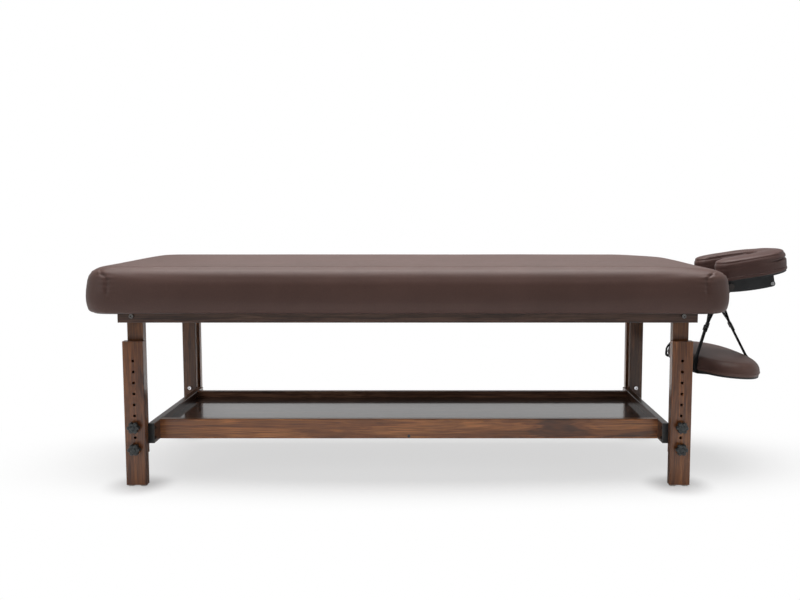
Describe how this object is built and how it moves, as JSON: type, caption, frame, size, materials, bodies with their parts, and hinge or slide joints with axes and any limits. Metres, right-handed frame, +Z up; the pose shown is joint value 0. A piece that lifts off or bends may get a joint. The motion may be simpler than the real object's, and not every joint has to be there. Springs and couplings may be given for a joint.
{
  "type": "stationary treatment table",
  "caption": "Padded wooden treatment table with bolt-set leg heights, storage shelf, horseshoe face cradle and hanging padded arm shelf.",
  "frame": {"origin": "on the floor under the middle of the padded top", "axes": "+X to the head end with the face cradle, -Y to the front, +Z up"},
  "size_m": [2.1419, 0.706, 0.6898],
  "materials": {
    "cover": "dark brown leatherette, soft sheen",
    "foam": "polyurethane foam",
    "deck_wood": "plain softwood and plywood",
    "base_panel": "black faced panel",
    "leg_wood": "walnut stain, satin lacquer",
    "post_wood": "walnut stain, satin lacquer",
    "apron_wood": "dark walnut stain, satin lacquer",
    "shelf_wood": "walnut stain, satin lacquer",
    "knob_plastic": "black, moulded",
    "glide_plastic": "pale, moulded",
    "bolt_steel": "bright plated",
    "screw_steel": "dark plated",
    "rod_steel": "bright drawn",
    "cradle_black": "black, moulded",
    "crossbar_wood": "black lacquer",
    "cradle_upholstery": "dark brown leatherette over foam",
    "rest_upholstery": "dark brown leatherette over foam",
    "hook_tape": "black hook tape",
    "rest_board": "black faced board",
    "webbing": "black woven webbing",
    "buckle_plastic": "black, moulded"
  },
  "bodies": {
    "frame": {"apron_bolts": "bolt_steel", "apron_foot": "apron_wood", "apron_front": "apron_wood", "apron_head": "apron_wood", "apron_rear": "apron_wood", "base_panel": "base_panel", "cradle_sockets": "rod_steel", "deck_board": "deck_wood", "deck_cross_braces": "deck_wood", "deck_rail_foot": "deck_wood", "deck_rail_front": "deck_wood", "deck_rail_head": "deck_wood", "deck_rail_rear": "deck_wood", "foam_core": "foam", "leg_bolts": "bolt_steel", "post_foot_front": "post_wood", "post_foot_rear": "post_wood", "post_head_front": "post_wood", "post_head_rear": "post_wood", "shelf_battens": "shelf_wood", "shelf_board": "shelf_wood", "shelf_rail_front": "shelf_wood", "shelf_rail_rear": "shelf_wood", "shelf_screws": "screw_steel", "shelf_side_rail_foot": "shelf_wood", "shelf_side_rail_head": "shelf_wood", "top_cover": "cover", "top_padding": "foam"},
    "leg_foot_front": {"leg_foot_front": "leg_wood", "glides_foot_front": "glide_plastic"},
    "knob_foot_front_lower": {"knob_foot_front_lower": "knob_plastic"},
    "knob_foot_front_upper": {"knob_foot_front_upper": "knob_plastic"},
    "leg_foot_rear": {"leg_foot_rear": "leg_wood", "glides_foot_rear": "glide_plastic"},
    "knob_foot_rear_lower": {"knob_foot_rear_lower": "knob_plastic"},
    "knob_foot_rear_upper": {"knob_foot_rear_upper": "knob_plastic"},
    "leg_head_front": {"leg_head_front": "leg_wood", "glides_head_front": "glide_plastic"},
    "knob_head_front_lower": {"knob_head_front_lower": "knob_plastic"},
    "knob_head_front_upper": {"knob_head_front_upper": "knob_plastic"},
    "leg_head_rear": {"leg_head_rear": "leg_wood", "glides_head_rear": "glide_plastic"},
    "knob_head_rear_lower": {"knob_head_rear_lower": "knob_plastic"},
    "knob_head_rear_upper": {"knob_head_rear_upper": "knob_plastic"},
    "cradle_base": {"cradle_rods": "rod_steel", "cradle_crossbar": "crossbar_wood", "cradle_lugs": "crossbar_wood", "cradle_clamp_shaft": "rod_steel"},
    "cradle_arms": {"cradle_arm_front": "cradle_black", "cradle_arm_rear": "cradle_black", "cradle_pivot_rod": "rod_steel"},
    "cradle_head": {"cradle_platform": "cradle_black", "cradle_ears": "cradle_black", "cradle_hook_tape": "hook_tape", "cradle_cushion": "cradle_upholstery"},
    "cam_lever": {"cradle_cam_lever": "cradle_black"},
    "arm_shelf": {"rest_board": "rest_board", "rest_pad": "rest_upholstery", "rest_straps": "webbing", "rest_buckles": "buckle_plastic"}
  },
  "joints": [
    {"name": "leg_foot_front_slide", "type": "slide", "parent": "frame", "child": "leg_foot_front", "axis": [0, 0, -1], "range_m": [0, 0.195]},
    {"name": "knob_foot_front_lower_turn", "type": "hinge", "parent": "frame", "child": "knob_foot_front_lower", "pos_m": [-0.798, -0.305, 0.113], "axis": [0, 1, 0], "continuous": true},
    {"name": "knob_foot_front_upper_turn", "type": "hinge", "parent": "frame", "child": "knob_foot_front_upper", "pos_m": [-0.798, -0.305, 0.178], "axis": [0, 1, 0], "continuous": true},
    {"name": "leg_foot_rear_slide", "type": "slide", "parent": "frame", "child": "leg_foot_rear", "axis": [0, 0, -1], "range_m": [0, 0.195]},
    {"name": "knob_foot_rear_lower_turn", "type": "hinge", "parent": "frame", "child": "knob_foot_rear_lower", "pos_m": [-0.798, 0.305, 0.113], "axis": [0, 1, 0], "continuous": true},
    {"name": "knob_foot_rear_upper_turn", "type": "hinge", "parent": "frame", "child": "knob_foot_rear_upper", "pos_m": [-0.798, 0.305, 0.178], "axis": [0, 1, 0], "continuous": true},
    {"name": "leg_head_front_slide", "type": "slide", "parent": "frame", "child": "leg_head_front", "axis": [0, 0, -1], "range_m": [0, 0.195]},
    {"name": "knob_head_front_lower_turn", "type": "hinge", "parent": "frame", "child": "knob_head_front_lower", "pos_m": [0.798, -0.305, 0.113], "axis": [0, 1, 0], "continuous": true},
    {"name": "knob_head_front_upper_turn", "type": "hinge", "parent": "frame", "child": "knob_head_front_upper", "pos_m": [0.798, -0.305, 0.178], "axis": [0, 1, 0], "continuous": true},
    {"name": "leg_head_rear_slide", "type": "slide", "parent": "frame", "child": "leg_head_rear", "axis": [0, 0, -1], "range_m": [0, 0.195]},
    {"name": "knob_head_rear_lower_turn", "type": "hinge", "parent": "frame", "child": "knob_head_rear_lower", "pos_m": [0.798, 0.305, 0.113], "axis": [0, 1, 0], "continuous": true},
    {"name": "knob_head_rear_upper_turn", "type": "hinge", "parent": "frame", "child": "knob_head_rear_upper", "pos_m": [0.798, 0.305, 0.178], "axis": [0, 1, 0], "continuous": true},
    {"name": "cradle_slide", "type": "slide", "parent": "frame", "child": "cradle_base", "axis": [1, 0, 0], "range_m": [0, 0.1]},
    {"name": "cradle_arm_hinge", "type": "hinge", "parent": "cradle_base", "child": "cradle_arms", "pos_m": [1.0003, 0, 0.572], "axis": [0, 1, 0], "range_deg": [-15, 15]},
    {"name": "cradle_platform_hinge", "type": "hinge", "parent": "cradle_arms", "child": "cradle_head", "pos_m": [1.1303, 0, 0.582], "axis": [0, 1, 0], "range_deg": [0, 25]},
    {"name": "cam_lever_hinge", "type": "hinge", "parent": "cradle_base", "child": "cam_lever", "pos_m": [1.0003, 0.1197, 0.572], "axis": [0, 0, 1], "range_deg": [0, 110]},
    {"name": "arm_shelf_swing", "type": "hinge", "parent": "cradle_base", "child": "arm_shelf", "pos_m": [0.9813, 0, 0.552], "axis": [0, 1, 0], "range_deg": [-25, 8]}
  ]
}
